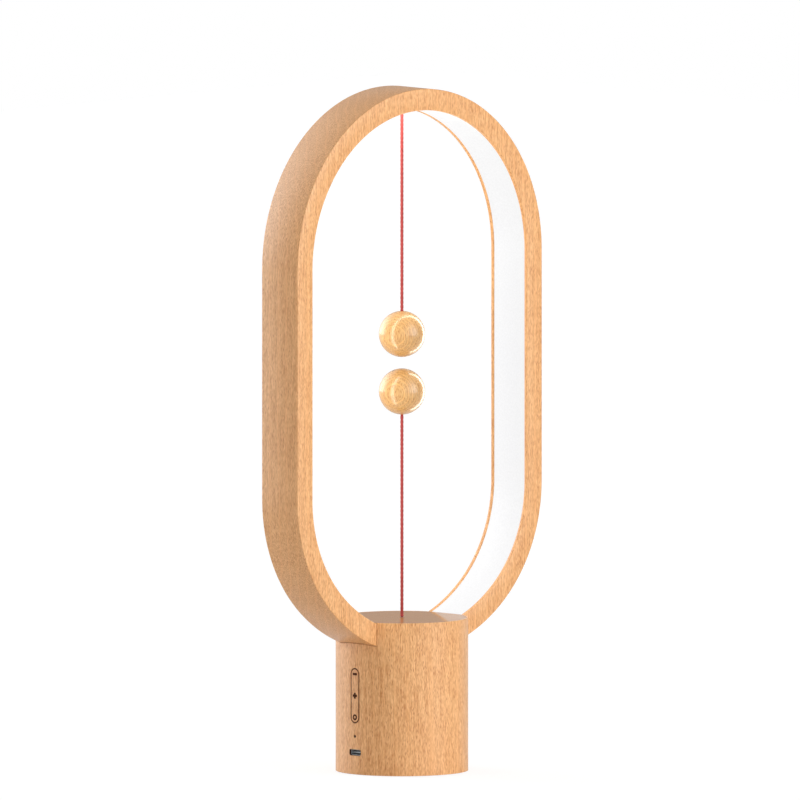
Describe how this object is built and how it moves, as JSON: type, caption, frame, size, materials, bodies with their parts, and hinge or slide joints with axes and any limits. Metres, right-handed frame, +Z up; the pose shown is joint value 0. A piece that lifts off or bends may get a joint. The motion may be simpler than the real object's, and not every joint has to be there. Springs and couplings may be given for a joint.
{
  "type": "magnetic balance lamp",
  "caption": "Table lamp: an oval wooden ring with a light strip inside stands on a round wooden base; a wooden ball on a cord floats below a hanging one by magnets and works the switch.",
  "frame": {"origin": "centre of the base's underside, on the table", "axes": "+Z up, the ring stands in the XZ plane, -Y is the front, and the key, indicator and charging port are on the -X side of the base"},
  "size_m": [0.2006, 0.0772, 0.4],
  "materials": {
    "ring_beech": "satin oiled beech, fine vertical grain with short dark flecks",
    "base_beech": "satin oiled beech, fine vertical grain with short dark flecks",
    "ball_beech": "glossy clear-coated beech",
    "key_beech": "satin beech",
    "inner_wood": "raw sawn beech",
    "top_plate": "mirror-gloss lacquered beech",
    "diffuser": "opal white, lit from behind",
    "strip": "white flexible circuit",
    "led_chip": "yellow phosphor",
    "steel": "bright zinc plated",
    "magnet": "nickel plated",
    "brass": "plain",
    "red_cord": "braided polyester cord",
    "ivory_plastic": "moulded nylon",
    "black_plastic": "moulded",
    "brown_plastic": "moulded",
    "rubber_pad": "foam rubber",
    "silicone": "silicone rubber",
    "circuit_board": "green solder mask",
    "battery_wrap": "shrink wrap",
    "white_tape": "foam tape",
    "red_wire": "insulated wire",
    "black_wire": "insulated wire",
    "indicator": "tinted light pipe"
  },
  "bodies": {
    "stand": {"base_shell": "base_beech", "slot_filler": "inner_wood", "top_disc": "top_plate", "cord_guide": "ivory_plastic", "ring_frame": "ring_beech", "ring_screws": "steel", "light_diffuser": "diffuser", "led_strips": "strip", "led_chips": "led_chip", "led_leads": "red_wire", "cord_anchor": "steel", "anchor_screws": "steel", "upper_cord_end": "red_cord", "return_spring": "steel", "switch_bracket": "steel", "bracket_screws": "steel", "lever_pin": "steel", "microswitch_body": "black_plastic", "microswitch_terminals": "brass", "microswitch_screws": "steel", "switch_leads": "black_wire", "bottom_cover": "black_plastic", "cover_screws": "steel", "foot_pad": "rubber_pad", "ballast_plate": "steel", "battery_tape": "white_tape", "battery_pack": "battery_wrap", "battery_leads": "red_wire", "control_board": "circuit_board", "board_standoffs": "ivory_plastic", "board_screws": "steel", "push_switches": "black_plastic", "controller_chip": "black_plastic", "power_coil": "black_plastic", "board_sockets": "ivory_plastic", "port_shell": "steel", "port_tongue": "black_plastic", "indicator_led": "led_chip", "indicator_lens": "indicator"},
    "upper_bend": {"upper_cord_bend": "red_cord"},
    "upper_ball": {"upper_cord": "red_cord", "upper_ball": "ball_beech", "upper_ball_plug": "ball_beech", "upper_magnet": "magnet"},
    "lower_bend": {"lower_cord_bend": "red_cord"},
    "lower_string": {"lower_cord": "red_cord"},
    "lower_ball": {"lower_ball": "ball_beech", "lower_ball_plug": "ball_beech", "lower_magnet": "magnet", "lower_ball_knot": "red_cord"},
    "switch_pull": {"switch_cord": "red_cord", "cord_stop": "brass"},
    "switch_lever": {"switch_lever": "ivory_plastic"},
    "switch_button": {"microswitch_button": "ivory_plastic"},
    "key_mat": {"key_mat": "silicone"},
    "key": {"key_carrier": "brown_plastic", "control_key": "key_beech"}
  },
  "joints": [
    {"name": "upper_ball_swing_front", "type": "hinge", "parent": "stand", "child": "upper_bend", "pos_m": [0, 0, 0.38675], "axis": [1, 0, 0], "range_deg": [-60, 60]},
    {"name": "upper_ball_swing_side", "type": "hinge", "parent": "upper_bend", "child": "upper_ball", "pos_m": [0, 0, 0.38675], "axis": [0, 1, 0], "range_deg": [-32, 32]},
    {"name": "lower_ball_tilt_front", "type": "hinge", "parent": "stand", "child": "lower_bend", "pos_m": [0, 0, 0.09085], "axis": [1, 0, 0], "range_deg": [-8, 8]},
    {"name": "lower_ball_tilt_side", "type": "hinge", "parent": "lower_bend", "child": "lower_string", "pos_m": [0, 0, 0.09085], "axis": [0, 1, 0], "range_deg": [-8, 8]},
    {"name": "lower_ball_drop", "type": "slide", "parent": "lower_string", "child": "lower_ball", "axis": [0, 0, 1], "range_m": [-0.118, 0], "deforming": ["lower_cord"]},
    {"name": "switch_cord_pull", "type": "slide", "parent": "stand", "child": "switch_pull", "axis": [0, 0, 1], "range_m": [-0.0025, 0], "deforming": ["return_spring"]},
    {"name": "switch_lever_turn", "type": "hinge", "parent": "stand", "child": "switch_lever", "pos_m": [0.017, 0, 0.047], "axis": [0, 1, 0], "range_deg": [-7.5, 0]},
    {"name": "switch_button_travel", "type": "slide", "parent": "stand", "child": "switch_button", "axis": [0, 0, 1], "range_m": [-0.0008, 0]},
    {"name": "key_press", "type": "slide", "parent": "stand", "child": "key_mat", "axis": [1, 0, 0], "range_m": [0, 0.00035], "stiffness_N_per_m": 2000},
    {"name": "key_rock", "type": "hinge", "parent": "key_mat", "child": "key", "pos_m": [-0.03215, 0, 0.0464], "axis": [0, 1, 0], "range_deg": [-1, 1], "stiffness_Nm_per_rad": 0.48}
  ],
  "couplings": [
    {"joint": "switch_cord_pull", "follows": "lower_ball_drop", "ratio": 0.021},
    {"joint": "switch_lever_turn", "follows": "lower_ball_drop", "rad_per_m": 1.1},
    {"joint": "switch_button_travel", "follows": "lower_ball_drop", "ratio": 0.0066}
  ]
}
